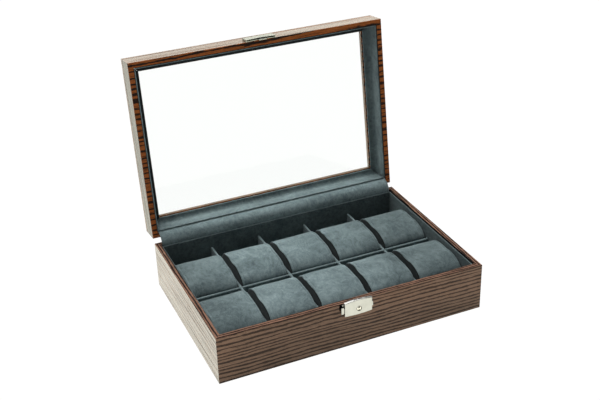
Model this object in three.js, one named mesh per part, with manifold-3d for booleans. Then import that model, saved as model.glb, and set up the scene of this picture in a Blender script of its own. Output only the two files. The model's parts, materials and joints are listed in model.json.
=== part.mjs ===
// A watch box for ten watches: a veneered case with a hinged, glazed lid, velour linings and dividers,
// ten loose watch pillows, and a small box lock. It stands open, as on a shop counter.
//
// Frame: millimetres, +Z up, X across the width, the front towards -Y. The origin is the middle of the
// face that the box rests on. The lid is modelled closed and then turned open about its hinge.

import * as THREE from 'three';
import { mergeVertices } from 'three/addons/utils/BufferGeometryUtils.js';
import Module from 'manifold-3d';

const wasm = await Module();
wasm.setup();

// ---------------------------------------------------------------- driving dimensions

const WIDTH = 330; // outside, X
const DEPTH = 221; // outside, Y
const CASE_TOP = 60.5; // the case's rim above the table
const LID_HEIGHT = 30.5; // the closed lid, rim to top face
const RIM_GAP = 0.5; // between the two rims when the lid is shut
const WALL = 6.5; // veneered walls of case and lid
const FIT = 0.15; // clearance between pieces that are glued or pressed together
const SOFTENED = 0.35; // the chamfer that takes the sharpness off the veneered edges

const FELT = 0.7; // thickness of the felt underneath
const FELT_INSET = 1.5; // from the case's outside to the felt's edge
const FLOOR_TOP = 5; // top of the floor board
const LINING = 2; // wall face to velour face, all round
const LINING_TOP = 58; // the linings stop below the rim
const LINING_FLOOR = 7; // velour face of the compartment floor
const LINING_ROUND = 0.6; // rounding of the wrapped top edges

const COLUMNS = 5;
const DIVIDER = 3; // thickness
const DIVIDER_TOP = 41;
const DIVIDER_ROUND = 1.1;

const PILLOW = { width: 57.4, length: 76, height: 47, backRowY: 41.2, frontRowY: -46, power: 2.8 };

const HINGE = { y: DEPTH / 2 + 3.9, z: CASE_TOP + 0.3, x: 100 }; // axis, and distance from the middle
const OPEN_ANGLE = 97.8; // degrees from shut, where the stay band is taut
const LEAF = { width: 32, thickness: 1, reach: 15, knuckle: 2.5, middle: 11, gap: 0.1, crank: [2.6, 4.4] };
const HINGE_PIN = { radius: 1, bore: 1.08, proud: 0.4 };
const HINGE_SCREW = { x: 10, rise: 10, hole: 1.3 }; // from the hinge's middle and from its axis

const BAND = { thickness: 0.4, halfWidth: 157, tuck: 9 }; // the stay band, tucked behind both linings

const RAIL_WIDTH = 17.5; // the lid's top frame, seen from above
const RAIL_UNDER = 25.2; // its underside above the lid's rim
const GLASS = { under: 23, thickness: 2, inset: 8.2 };
const BEAD = { under: 21.4, top: 22.85, reach: 16.6 }; // the strips that hold the glass up

// The lock. Boxes of its plates are x from the cover's middle, and z from the table.
const LOCK_X = 2.5; // the lock sits a little right of the middle
const COVER = { halfWidth: 17, bottom: 43.9, top: 60.9, bulgeTop: 1.5, bulgeBottom: 0.9 };
const COVER_PRESSED = { proud: 3.1, skin: 0.75, edgeDepth: 0.7, edgeWidth: 0.9 };
const TONGUE_SLOT = { x: [-5.4, 5.4], z: [58, 64] }; // in the cover's top
const SLIDE_SLOT = { x: [-19, 19], z: [48.2, 54.6] }; // in the cover's ends
const RECESSES = [
  { x: [-16.4, 16.4], z: [44.6, 59.6], depth: 1.2 }, // for the base plate
  { x: [-22.5, -16], z: [52, 60.1], depth: 3 }, // for its tab, and roughly cut
  { x: [16, 18.6], z: [50, 56.6], depth: 1.2 }, // beside the slide's right end
];
const BASE_PLATE = { x: [-16.2, 16.2], z: [44.8, 59.4], depth: [0.2, 1.05] };
const BASE_TAB = { x: [-18.8, -15], z: [56.4, 58.8] };
const NAIL = { hole: 0.6, length: 4.2, places: [[-13.2, 57.4], [13.2, 57.4]] };
const SLIDE_BAR = { x: [-19.6, 18.6], z: [48.5, 54.3] };
const SLIDE_PAD = { x: [-20.9, -18], z: [47.8, 56], proud: 0.5 };
const SLIDE_FINGER = { x: [7.9, 9.6], z: [53, 59.2] };
const SLIDE_HOOK = { x: [5.5, 8.3], z: [57.4, 59.2] };
const KEYHOLE = { x: LOCK_X + 0.6, z: 50.4, radius: 3.1, ring: 0.5 };
const PLUG = { disc: 2.75, flange: 3.5, centre: 0.8, slotAt: 1.7, slotHalf: [0.95, 0.75] };
const THROW = { crank: 1.9, halfTurn: 45, pin: 0.6 }; // drive pin, and degrees either side of upright
const STRIKE = {
  left: 20.2, right: 18.4, low: 0.2, top: 13, // its sides from the lock's middle, its ends from the rim
  skin: 0.8, edge: 0.4, screwX: 8.5, screwRise: 6.5,
};
const TONGUE = { x: [-5, 5], z: [56.2, 71] };
const TONGUE_NOTCH = { x: [2.5, 6], z: [57, 59.6] };
const STRIKE_SCREW = { pilot: 1.15, length: 6.2, headBack: 1.05 };

// ---------------------------------------------------------------- derived places

const FRONT = -DEPTH / 2; // the case's front face
const LID_RIM = CASE_TOP + RIM_GAP; // the shut lid's rim
const LINED = WALL + LINING; // outside face to velour face
const INNER_WIDTH = WIDTH - 2 * LINED;
const INNER_DEPTH = DEPTH - 2 * LINED;
const COLUMN_PITCH = (INNER_WIDTH + DIVIDER) / COLUMNS;
const SLOT_BOARD = LINING - 0.7; // the back linings are thinner, and leave a slot for the stay band
const LAYER = [FRONT - 1.65, FRONT - 0.85]; // the lock's slide and the strike's tongue share this layer
const PAST = 40; // how far a cutting block runs past what it cuts

// ---------------------------------------------------------------- materials

const finish = (color, roughness, metalness = 0) =>
  new THREE.MeshStandardMaterial({ color, roughness, metalness });
const VENEER = finish(0x5f4a3d, 0.45);
const VELOUR = finish(0x5f7175, 0.95);
const FELT_BLACK = finish(0x202224, 1);
const BOARD = finish(0x6b5a48, 0.8);
const NICKEL = finish(0xcfcfc6, 0.25, 1);
const BRASS = finish(0xb59a5a, 0.35, 1);
const CLEAR = new THREE.MeshStandardMaterial({
  color: 0xf4f8f6, roughness: 0.02, metalness: 0, transparent: true, opacity: 0.15,
});

// ---------------------------------------------------------------- geometry helpers

const { cos, sin, PI, sign, abs, pow } = Math;
const X = new THREE.Vector3(1, 0, 0);
const Y = new THREE.Vector3(0, 1, 0);
const Z = new THREE.Vector3(0, 0, 1);

const outline = (points) => new THREE.Shape(points.map(([a, b]) => new THREE.Vector2(a, b)));

// A block between two corners.
function block([x0, y0, z0], [x1, y1, z1]) {
  const geometry = new THREE.BoxGeometry(x1 - x0, y1 - y0, z1 - z0);
  return geometry.translate((x0 + x1) / 2, (y0 + y1) / 2, (z0 + z1) / 2);
}

// A (y, z) outline drawn out along X from x0 to x1.
function alongX(shape, x0, x1) {
  const options = { depth: x1 - x0, bevelEnabled: false, curveSegments: 10 };
  const geometry = new THREE.ExtrudeGeometry(shape, options);
  return geometry.applyMatrix4(new THREE.Matrix4().makeBasis(Y, Z, X)).translate(x0, 0, 0);
}

// An (x, z) outline drawn out along Y from y0 to y1, with an optional bevel at both ends.
function alongY(shape, y0, y1, bevel = {}) {
  const options = { depth: y1 - y0, bevelEnabled: false, curveSegments: 10, ...bevel };
  const geometry = new THREE.ExtrudeGeometry(shape, options);
  return geometry.applyMatrix4(new THREE.Matrix4().makeBasis(X, Z, Y.clone().negate())).translate(0, y1, 0);
}

// A round bar along X or Y, from one end to the other.
function barX(radius, x0, x1, y, z, sides = 20) {
  const geometry = new THREE.CylinderGeometry(radius, radius, x1 - x0, sides);
  return geometry.rotateZ(PI / 2).translate((x0 + x1) / 2, y, z);
}

function barY(radius, y0, y1, x, z, sides = 20) {
  return new THREE.CylinderGeometry(radius, radius, y1 - y0, sides).translate(x, (y0 + y1) / 2, z);
}

// A closed three.js geometry as a solid, and back.
function solidOf(geometry) {
  const bare = geometry.clone();
  bare.deleteAttribute('normal');
  bare.deleteAttribute('uv');
  const merged = mergeVertices(bare, 1e-4);
  const triVerts = merged.index ? new Uint32Array(merged.index.array) : undefined;
  const vertProperties = new Float32Array(merged.attributes.position.array);
  return new wasm.Manifold(new wasm.Mesh({ numProp: 3, vertProperties, triVerts }));
}

function geometryOf(solid) {
  const mesh = solid.getMesh();
  const geometry = new THREE.BufferGeometry();
  geometry.setAttribute('position', new THREE.BufferAttribute(new Float32Array(mesh.vertProperties), 3));
  geometry.setIndex(new THREE.BufferAttribute(new Uint32Array(mesh.triVerts), 1));
  const flat = geometry.toNonIndexed();
  flat.computeVertexNormals();
  return flat;
}

const join = (...pieces) => geometryOf(pieces.map(solidOf).reduce((a, b) => a.add(b)));
const cut = (body, ...tools) => geometryOf(tools.map(solidOf).reduce((a, b) => a.subtract(b), solidOf(body)));

// ---------------------------------------------------------------- the assembly

const box = new THREE.Group();
const lidHinge = new THREE.Group(); // turns about the hinge axis
const lid = new THREE.Group(); // holds the lid's pieces where they are when it is shut
lidHinge.position.set(0, HINGE.y, HINGE.z);
lidHinge.rotation.x = -THREE.MathUtils.degToRad(OPEN_ANGLE);
lid.position.set(0, -HINGE.y, -HINGE.z);
lidHinge.add(lid);
box.add(lidHinge);

function place(group, name, geometry, material) {
  const mesh = new THREE.Mesh(geometry, material);
  mesh.name = name;
  group.add(mesh);
}

// Where a (y, z) point of the shut lid is when the lid stands open.
function opened(y, z) {
  const turn = -THREE.MathUtils.degToRad(OPEN_ANGLE);
  const [dy, dz] = [y - HINGE.y, z - HINGE.z];
  return [HINGE.y + dy * cos(turn) - dz * sin(turn), HINGE.z + dy * sin(turn) + dz * cos(turn)];
}

// ---------------------------------------------------------------- mitred frames

const SIDES = { front: 0, right: PI / 2, back: PI, left: -PI / 2 };

// One side of a mitred frame. The profile's points are (inset from the outside face, height).
function mitredSide(side, profile) {
  const across = side === 'front' || side === 'back';
  const halfLength = (across ? WIDTH : DEPTH) / 2;
  const distance = (across ? DEPTH : WIDTH) / 2;
  const geometry = alongX(outline(profile), -1, 1);
  const place3 = geometry.attributes.position;
  for (let i = 0; i < place3.count; i += 1) {
    const inset = place3.getY(i);
    place3.setX(i, sign(place3.getX(i)) * (halfLength - inset - FIT / 2));
    place3.setY(i, inset - distance);
  }
  geometry.rotateZ(SIDES[side]);
  geometry.computeVertexNormals();
  return geometry;
}

// A wall's section: square inside, with its two outside edges softened.
function wallSection(bottom, top, thickness = WALL) {
  return [
    [SOFTENED, bottom], [thickness, bottom], [thickness, top],
    [SOFTENED, top], [0, top - SOFTENED], [0, bottom + SOFTENED],
  ];
}

// A wrapped board's section between two insets, with its upper edges rounded.
function boardSection(outer, inner, bottom, top, round = LINING_ROUND) {
  const points = [[outer, bottom], [inner, bottom]];
  const steps = 3;
  for (let i = 0; i <= steps; i += 1) {
    const a = (i / steps) * (PI / 2);
    points.push([inner - round + round * cos(a), top - round + round * sin(a)]);
  }
  for (let i = 0; i <= steps; i += 1) {
    const a = PI / 2 + (i / steps) * (PI / 2);
    points.push([outer + round + round * cos(a), top - round + round * sin(a)]);
  }
  return points;
}

// The same board upside down, for the lid, whose wrapped edge faces its rim.
function hangingSection(outer, inner, bottom, top) {
  return boardSection(outer, inner, -top, -bottom).map(([inset, z]) => [inset, -z]).reverse();
}

// The outer inset of a lining board: the back boards leave a slot behind them for the stay band.
const boardOuter = (side) => (side === 'back' ? LINED - SLOT_BOARD : WALL + FIT);

// ---------------------------------------------------------------- case

function caseWalls() {
  for (const side of Object.keys(SIDES)) {
    const panel = mitredSide(side, wallSection(FELT + FIT, CASE_TOP));
    place(box, `case_${side}_panel`, side === 'front' ? cut(panel, ...lockMortise()) : panel, VENEER);
  }
}

// The recesses in the front panel for the lock's base plate and slide, and the nails' holes.
function lockMortise() {
  return [
    ...RECESSES.map((recess) => lockBlock(recess, FRONT - 1, FRONT + recess.depth)),
    ...nailPlaces().map(([x, z]) => barY(NAIL.hole, FRONT, FRONT + NAIL.length + 0.4, x, z, 10)),
  ];
}

function caseFloor() {
  const [x, y] = [WIDTH / 2, DEPTH / 2];
  const wide = WALL + FIT;
  const board = block([wide - x, wide - y, FELT + FIT], [x - wide, y - wide, FLOOR_TOP]);
  const felt = block([FELT_INSET - x, FELT_INSET - y, 0], [x - FELT_INSET, y - FELT_INSET, FELT]);
  const lined = LINED + FIT;
  const velour = block([lined - x, lined - y, FLOOR_TOP + FIT], [x - lined, y - lined, LINING_FLOOR]);
  place(box, 'case_floor', board, BOARD);
  place(box, 'base_felt', felt, FELT_BLACK);
  place(box, 'lining_floor', velour, VELOUR);
}

function caseLinings() {
  for (const side of Object.keys(SIDES)) {
    const section = boardSection(boardOuter(side), LINED, FLOOR_TOP + FIT, LINING_TOP);
    place(box, `lining_${side}`, mitredSide(side, section), VELOUR);
  }
}

// ---------------------------------------------------------------- dividers

// Centre of each long divider, from left to right.
const dividerX = (i) => (i - (COLUMNS - 2) / 2) * COLUMN_PITCH;

function dividerSection() {
  return outline(boardSection(-DIVIDER / 2, DIVIDER / 2, LINING_FLOOR + FIT, DIVIDER_TOP, DIVIDER_ROUND));
}

// The long dividers are notched from below and the cross divider from above, so they slide together.
function dividers() {
  const middle = (LINING_FLOOR + DIVIDER_TOP) / 2;
  const half = DIVIDER / 2 + FIT;
  const [length, width] = [INNER_DEPTH / 2 - FIT, INNER_WIDTH / 2 - FIT];
  const notches = [];
  for (let i = 0; i < COLUMNS - 1; i += 1) {
    const x = dividerX(i);
    const blank = alongY(dividerSection(), -length, length).translate(x, 0, 0);
    const notch = block([x - DIVIDER, -half, 0], [x + DIVIDER, half, middle + FIT]);
    place(box, `divider_long_${i + 1}`, cut(blank, notch), VELOUR);
    notches.push(block([x - half, -DIVIDER, middle - FIT], [x + half, DIVIDER, CASE_TOP]));
  }
  place(box, 'divider_cross', cut(alongX(dividerSection(), -width, width), ...notches), VELOUR);
}

// ---------------------------------------------------------------- pillows

// A pillow's side view: a rounded roll, flatter underneath where it stands on the velour.
function pillowOutline(steps = 24) {
  const points = [];
  const [a, b] = [PILLOW.length / 2, PILLOW.height / 2];
  const centre = LINING_FLOOR + 0.3 + b;
  for (let i = 0; i < steps; i += 1) {
    const t = (i / steps) * 2 * PI;
    const round = (v) => sign(v) * pow(abs(v), 2 / PILLOW.power);
    points.push([a * round(cos(t)), centre + b * round(sin(t))]);
  }
  return outline(points);
}

function pillows() {
  for (const [row, y] of [['back', PILLOW.backRowY], ['front', PILLOW.frontRowY]]) {
    for (let i = 0; i < COLUMNS; i += 1) {
      const x = (i - (COLUMNS - 1) / 2) * COLUMN_PITCH;
      const roll = alongX(pillowOutline(), x - PILLOW.width / 2, x + PILLOW.width / 2).translate(0, y, 0);
      place(box, `pillow_${row}_${i + 1}`, roll, VELOUR);
    }
  }
}

// ---------------------------------------------------------------- lid

function lidWalls() {
  const top = LID_RIM + RAIL_UNDER - FIT;
  for (const side of Object.keys(SIDES)) {
    const wall = mitredSide(side, wallSection(LID_RIM, top));
    const pilots = strikeScrewPlaces().map(([x, z]) => (
      barY(STRIKE_SCREW.pilot, FRONT - 1, FRONT + 5.6, x, z, 12)
    ));
    place(lid, `lid_${side}_wall`, side === 'front' ? cut(wall, ...pilots) : wall, VENEER);
  }
}

function lidTopFrame() {
  for (const side of Object.keys(SIDES)) {
    const section = wallSection(LID_RIM + RAIL_UNDER, LID_RIM + LID_HEIGHT, RAIL_WIDTH);
    place(lid, `lid_rail_${side}`, mitredSide(side, section), VENEER);
  }
}

function lidGlass() {
  const [x, y] = [WIDTH / 2 - GLASS.inset, DEPTH / 2 - GLASS.inset];
  const under = LID_RIM + GLASS.under;
  place(lid, 'glass_pane', block([-x, -y, under], [x, y, under + GLASS.thickness]), CLEAR);
}

// The lining boards stop at the beads, and the beads run nearly to the edge of the top frame.
function lidLinings() {
  const rim = LID_RIM + 0.4;
  for (const side of Object.keys(SIDES)) {
    const board = hangingSection(boardOuter(side), LINED, rim, LID_RIM + BEAD.top);
    const [under, top] = [LID_RIM + BEAD.under, LID_RIM + BEAD.top];
    const bead = [[LINED + FIT, under], [BEAD.reach, under], [BEAD.reach, top], [LINED + FIT, top]];
    place(lid, `lid_lining_${side}`, mitredSide(side, board), VELOUR);
    place(lid, `glass_bead_${side}`, mitredSide(side, bead), VELOUR);
  }
}

// ---------------------------------------------------------------- stay band

// The band leaves the slot behind the case's back lining, rises, and bends over into the lid's slot.
function stayBand() {
  const slot = DEPTH / 2 - WALL - (LINING - SLOT_BOARD) / 2; // middle of the slot behind the boards
  const lidEnd = opened(slot, LID_RIM);
  const free = new THREE.QuadraticBezierCurve(
    new THREE.Vector2(slot, CASE_TOP + 0.4),
    new THREE.Vector2(slot + 0.1, lidEnd[1] - 1.6),
    new THREE.Vector2(...lidEnd),
  );
  const middle = [
    new THREE.Vector2(slot, LINING_TOP - BAND.tuck),
    ...free.getPoints(9),
    new THREE.Vector2(...opened(slot, LID_RIM + BAND.tuck)),
  ];
  const strip = alongX(ribbon(middle, BAND.thickness), -BAND.halfWidth, BAND.halfWidth);
  place(box, 'hinge_stay_band', strip, VELOUR);
}

// A strip of even thickness about a line of points.
function ribbon(middle, thickness) {
  const side = (offset) => middle.map((point, i) => {
    const before = middle[Math.max(i - 1, 0)];
    const after = middle[Math.min(i + 1, middle.length - 1)];
    const along = after.clone().sub(before).normalize();
    return point.clone().add(new THREE.Vector2(along.y, -along.x).multiplyScalar(offset));
  });
  return new THREE.Shape([...side(thickness / 2), ...side(-thickness / 2).reverse()]);
}

// ---------------------------------------------------------------- hinges

// The leaf lies on the outside of a back wall and cranks out to the knuckle; direction is -1 below the
// axis, for the case, and 1 above it, for the lid. The cuts leave room for the other leaf's knuckles.
function hingeLeaf(x, direction, cuts) {
  const face = DEPTH / 2 + LEAF.gap;
  const outer = face + LEAF.thickness;
  const at = (rise) => HINGE.z + direction * rise;
  const [inside, outside] = LEAF.crank;
  const points = [
    [face, at(inside)], [face, at(LEAF.reach)], [outer, at(LEAF.reach)], [outer, at(outside)],
    [HINGE.y, at(LEAF.knuckle - 0.05)], [HINGE.y - LEAF.knuckle + 0.1, at(0.5)],
  ];
  const section = outline(direction < 0 ? points : [...points].reverse());
  const [x0, x1] = [x - LEAF.width / 2, x + LEAF.width / 2];
  const leaf = join(alongX(section, x0, x1), barX(LEAF.knuckle, x0, x1, HINGE.y, HINGE.z, 24));
  const bore = barX(HINGE_PIN.bore, x0 - 1, x1 + 1, HINGE.y, HINGE.z, 24);
  const screws = [-1, 1].map((end) => (
    barY(HINGE_SCREW.hole, face - 1, outer + 1, x + end * HINGE_SCREW.x, at(HINGE_SCREW.rise), 14)
  ));
  return cut(leaf, bore, ...screws, ...cuts);
}

// A block about the hinge axis that takes away a leaf's knuckle between two distances from its middle.
function knuckleCut(x, x0, x1) {
  const reach = LEAF.knuckle + 1.7;
  const near = HINGE.y - LEAF.knuckle - 0.2;
  return block([x + x0, near, HINGE.z - reach], [x + x1, HINGE.y + reach, HINGE.z + reach]);
}

function hinges() {
  for (const [name, x] of [['left', -HINGE.x], ['right', HINGE.x]]) {
    const [half, end] = [LEAF.middle / 2, LEAF.width / 2 + 1];
    const caseLeaf = hingeLeaf(x, -1, [knuckleCut(x, -half - FIT, half + FIT)]);
    const lidLeaf = hingeLeaf(x, 1, [knuckleCut(x, -end, -half), knuckleCut(x, half, end)]);
    const pinHalf = LEAF.width / 2 + HINGE_PIN.proud;
    place(box, `hinge_case_leaf_${name}`, caseLeaf, BRASS);
    place(lid, `hinge_lid_leaf_${name}`, lidLeaf, BRASS);
    const pin = barX(HINGE_PIN.radius, x - pinHalf, x + pinHalf, HINGE.y, HINGE.z, 24);
    place(box, `hinge_pin_${name}`, pin, BRASS);
  }
}

// ---------------------------------------------------------------- lock

// A plate of the lock between two depths.
const lockBlock = ({ x, z }, y0, y1) => block([LOCK_X + x[0], y0, z[0]], [LOCK_X + x[1], y1, z[1]]);

// The nails that hold the base plate, under the cover.
const nailPlaces = () => NAIL.places.map(([x, z]) => [LOCK_X + x, z]);

// Where the drive pin is at rest, from the keyhole's centre.
function drivePlace() {
  const turn = THREE.MathUtils.degToRad(THROW.halfTurn);
  return [KEYHOLE.x + THROW.crank * sin(turn), KEYHOLE.z + THROW.crank * cos(turn)];
}

// The cover's face: straight ends, with its top and bottom edges bulging slightly.
function coverFace(shrink = 0) {
  const half = COVER.halfWidth - shrink;
  const [bottom, top] = [COVER.bottom + shrink, COVER.top - shrink];
  const shape = new THREE.Shape();
  shape.moveTo(LOCK_X - half, bottom);
  shape.quadraticCurveTo(LOCK_X, bottom - 2 * COVER.bulgeBottom, LOCK_X + half, bottom);
  shape.lineTo(LOCK_X + half, top);
  shape.quadraticCurveTo(LOCK_X, top + 2 * COVER.bulgeTop, LOCK_X - half, top);
  return shape;
}

// The edge that a pressed plate has, as an extrusion's bevel.
function pressedEdge(depth, width, bevelSegments) {
  return { bevelEnabled: true, bevelThickness: depth, bevelSize: width, bevelOffset: -width, bevelSegments };
}

function lockCover() {
  const { proud, skin, edgeDepth, edgeWidth } = COVER_PRESSED;
  const front = FRONT - proud;
  const pan = alongY(coverFace(), front + edgeDepth, FRONT + 1, pressedEdge(edgeDepth, edgeWidth, 3));
  const ring = barY(KEYHOLE.radius + KEYHOLE.ring, front - 0.2, front + 0.3, KEYHOLE.x, KEYHOLE.z, 28);
  const inside = alongY(coverFace(skin), front + skin, FRONT + 3);
  const behind = block([LOCK_X - PAST, FRONT - FIT, 0], [LOCK_X + PAST, FRONT + 4, CASE_TOP + PAST]);
  const keyhole = barY(KEYHOLE.radius, front - 2, FRONT + 3, KEYHOLE.x, KEYHOLE.z, 28);
  const tongueSlot = lockBlock(TONGUE_SLOT, LAYER[0] - 0.2, LAYER[1] + 0.2);
  const slideSlot = lockBlock(SLIDE_SLOT, LAYER[0] - 0.2, FRONT + 2);
  place(box, 'lock_cover', cut(join(pan, ring), inside, behind, keyhole, tongueSlot, slideSlot), NICKEL);
}

function lockBasePlate() {
  const [front, back] = BASE_PLATE.depth.map((depth) => FRONT + depth);
  const plate = join(lockBlock(BASE_PLATE, front, back), lockBlock(BASE_TAB, front, back));
  const holes = nailPlaces().map(([x, z]) => barY(NAIL.hole, front - 1, back + 1, x, z, 10));
  place(box, 'lock_base_plate', cut(plate, ...holes), NICKEL);
}

// A round-headed pin or screw: a profile of (radius, height) turned about an axis that points out of the
// front face, with the underside of its head at the given y.
function headed(profile, length, x, y, z, sides) {
  const solid = new THREE.LatheGeometry(profile.map(([r, h]) => new THREE.Vector2(r, h)), sides);
  return solid.rotateX(PI).translate(x, y + length, z);
}

function lockNails() {
  const { length } = NAIL;
  const dome = [[1.1, 0], [1.1, 0.3], [0.8, 0.8], [0.4, 1.05], [0, 1.1]];
  const profile = [[0, 0], [0.5, 0], [0.5, length], ...dome.map(([r, h]) => [r, length + h])];
  nailPlaces().forEach(([x, z], i) => {
    place(box, `lock_nail_${i + 1}`, headed(profile, length, x, FRONT + 0.1, z, 16), NICKEL);
  });
}

// The key plug: a flange behind the cover, a disc in the keyhole with two slots, a centre pin for a
// hollow key, and an eccentric drive pin behind it that moves the slide.
function keyPlug() {
  const front = FRONT - COVER_PRESSED.proud;
  const back = FRONT - 1.9; // just in front of the slide
  const flange = barY(PLUG.flange, back - 0.35, back, KEYHOLE.x, KEYHOLE.z, 28);
  const disc = barY(PLUG.disc, front + 0.25, back - 0.05, KEYHOLE.x, KEYHOLE.z, 28);
  const centre = barY(PLUG.centre, front - 0.35, back - 0.1, KEYHOLE.x, KEYHOLE.z, 16);
  const [across, tall] = PLUG.slotHalf;
  const slots = [-1, 1].map((end) => {
    const z = KEYHOLE.z + end * PLUG.slotAt;
    return block([KEYHOLE.x - across, front - 1, z - tall], [KEYHOLE.x + across, back - 0.2, z + tall]);
  });
  const drive = barY(THROW.pin, back - 0.1, LAYER[1] + 0.1, ...drivePlace(), 14);
  place(box, 'key_plug', join(cut(join(flange, disc, centre), ...slots), drive), NICKEL);
}

// The slide runs inside the cover, shows at both of its ends, and hooks the strike's tongue. The drive
// pin works in its slot, which starts above the keyhole's centre.
function lockSlide() {
  const [front, back] = LAYER;
  const bars = [SLIDE_BAR, SLIDE_FINGER, SLIDE_HOOK].map((part) => lockBlock(part, front, back));
  const body = join(...bars, lockBlock(SLIDE_PAD, front - SLIDE_PAD.proud, back));
  const [driveX] = drivePlace();
  const half = THROW.pin + 0.25;
  const slot = block([driveX - half, front - 1, KEYHOLE.z + 0.4], [driveX + half, back + 1, KEYHOLE.z + 2.8]);
  const clearance = barY(PLUG.centre + 0.2, front - 1, back + 1, KEYHOLE.x, KEYHOLE.z, 16);
  place(box, 'lock_slide', cut(body, slot, clearance), NICKEL);
}

// ---------------------------------------------------------------- strike

const strikeScrewPlaces = () => (
  [-1, 1].map((end) => [LOCK_X + end * STRIKE.screwX, LID_RIM + STRIKE.screwRise])
);

// The strike's outline: square, with its lower side arched to sit over the lock's cover.
function strikeFace() {
  const { left, right, low, top } = STRIKE;
  const foot = COVER.halfWidth + 0.5;
  const shape = new THREE.Shape();
  shape.moveTo(LOCK_X - left, LID_RIM + low);
  shape.lineTo(LOCK_X - foot, LID_RIM + low);
  shape.quadraticCurveTo(LOCK_X, LID_RIM + 2 * (low + COVER.bulgeTop), LOCK_X + foot, LID_RIM + low);
  shape.lineTo(LOCK_X + right, LID_RIM + low);
  shape.lineTo(LOCK_X + right, LID_RIM + top);
  shape.lineTo(LOCK_X - left, LID_RIM + top);
  return shape;
}

// The tongue hangs below the pan, where the slide's hook enters its notch.
function strikeTongue() {
  const [front, back] = LAYER;
  const relief = block([LOCK_X - PAST, back, 0], [LOCK_X + PAST, FRONT, LID_RIM + 0.7]);
  const notch = lockBlock(TONGUE_NOTCH, front - 1, back + 1);
  return cut(lockBlock(TONGUE, front, FRONT - STRIKE.skin), relief, notch);
}

// A pressed pan with an open lower side, and the tongue.
function strikePlate() {
  const { left, right, top, skin, edge } = STRIKE;
  const front = FRONT - COVER_PRESSED.proud;
  const pan = alongY(strikeFace(), front + edge, FRONT + 2, pressedEdge(edge, edge, 2));
  const behind = block([LOCK_X - PAST, FRONT - FIT, 0], [LOCK_X + PAST, FRONT + 4, LID_RIM + PAST]);
  const inside = block(
    [LOCK_X - left + skin, front + edge + 0.3, LID_RIM - 3],
    [LOCK_X + right - skin, FRONT - skin - FIT, LID_RIM + top - skin],
  );
  const holes = strikeScrewPlaces().map(([x, z]) => (
    barY(STRIKE_SCREW.pilot, FRONT - 2, FRONT + 1, x, z, 12)
  ));
  place(lid, 'strike_plate', join(cut(pan, behind, inside, ...holes), strikeTongue()), NICKEL);
}

// Round-headed slotted screws inside the pan.
function strikeScrews() {
  const { length, headBack } = STRIKE_SCREW;
  const dome = [[2.1, 0], [2.1, 0.4], [1.6, 0.9], [0.8, 1.1], [0, 1.15]];
  const profile = [[0, 0], [1, 0.9], [1, length], ...dome.map(([r, h]) => [r, length + h])];
  strikeScrewPlaces().forEach(([x, z], i) => {
    const screw = headed(profile, length, x, FRONT - headBack, z, 18);
    const slot = block([x - 3, FRONT - 3, z - 0.3], [x + 3, FRONT - headBack - 0.7, z + 0.3]);
    place(lid, `strike_screw_${i + 1}`, cut(screw, slot), NICKEL);
  });
}

// ---------------------------------------------------------------- build

caseWalls();
caseFloor();
caseLinings();
dividers();
pillows();
lidWalls();
lidTopFrame();
lidGlass();
lidLinings();
stayBand();
hinges();
lockBasePlate();
lockNails();
lockSlide();
keyPlug();
lockCover();
strikePlate();
strikeScrews();

export default box;
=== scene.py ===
"""The looks of a watch box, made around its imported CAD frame.

Everything is in metres, in the frame's own axes: +Z up, X across the width, the lock towards -Y. The
CAD nodes whose shape is right stay and get procedural materials. The pillows, the stay band and the
velour mouldings in the lid are made here, and so are the hinges' screws.
"""

import json
import math

import bmesh
import bpy
import numpy as np
from mathutils import Euler, Matrix, Vector, noise


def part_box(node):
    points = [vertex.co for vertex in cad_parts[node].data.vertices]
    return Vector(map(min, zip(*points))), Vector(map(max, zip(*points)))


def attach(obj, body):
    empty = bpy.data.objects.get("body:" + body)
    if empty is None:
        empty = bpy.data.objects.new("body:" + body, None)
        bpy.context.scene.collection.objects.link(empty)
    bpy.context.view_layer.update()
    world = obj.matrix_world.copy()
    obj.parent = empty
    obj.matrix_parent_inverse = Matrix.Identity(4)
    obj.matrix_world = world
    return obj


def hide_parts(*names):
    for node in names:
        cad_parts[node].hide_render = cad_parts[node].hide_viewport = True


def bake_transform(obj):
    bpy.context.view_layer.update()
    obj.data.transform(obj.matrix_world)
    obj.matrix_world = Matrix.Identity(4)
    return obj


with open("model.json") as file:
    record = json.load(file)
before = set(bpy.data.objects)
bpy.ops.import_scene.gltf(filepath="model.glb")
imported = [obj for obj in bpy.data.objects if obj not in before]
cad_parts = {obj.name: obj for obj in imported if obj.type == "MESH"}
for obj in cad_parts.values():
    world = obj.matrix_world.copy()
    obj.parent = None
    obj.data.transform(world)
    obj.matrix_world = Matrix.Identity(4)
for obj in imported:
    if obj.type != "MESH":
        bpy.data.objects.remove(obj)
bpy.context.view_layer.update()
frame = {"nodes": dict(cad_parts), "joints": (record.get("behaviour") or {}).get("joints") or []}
MM = 0.001
ALONG_X, ALONG_Y, UP = (1, 0, 0), (0, 1, 0), (0, 0, 1)
LEFT, DOWN = (-1, 0, 0), (0, 0, -1)

# ---------------------------------------------------------------- places read from the frame

CASE_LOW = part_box("case_front_panel")[0]
CASE_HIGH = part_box("case_back_panel")[1]
CASE_TOP = CASE_HIGH.z
HALF_WIDTH, HALF_DEPTH = CASE_HIGH.x, CASE_HIGH.y
LOCK = sum(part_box("lock_cover"), Vector()) / 2
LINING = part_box("lining_right")
LINED_X, LINING_TOP = LINING[0].x, LINING[1].z  # the velour's face, and its top
HINGE_JOINT = next(j for j in frame["joints"] if j["name"] == "lid_hinge")
HINGE = Vector(HINGE_JOINT["pos_m"])
OPEN_ANGLE = math.radians(-HINGE_JOINT["range_deg"][0])  # how far the lid stands open at rest
RIM_GAP = 0.5 * MM  # between the case and the shut lid
LID_RIM = CASE_TOP + RIM_GAP  # the shut lid's rim


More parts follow.
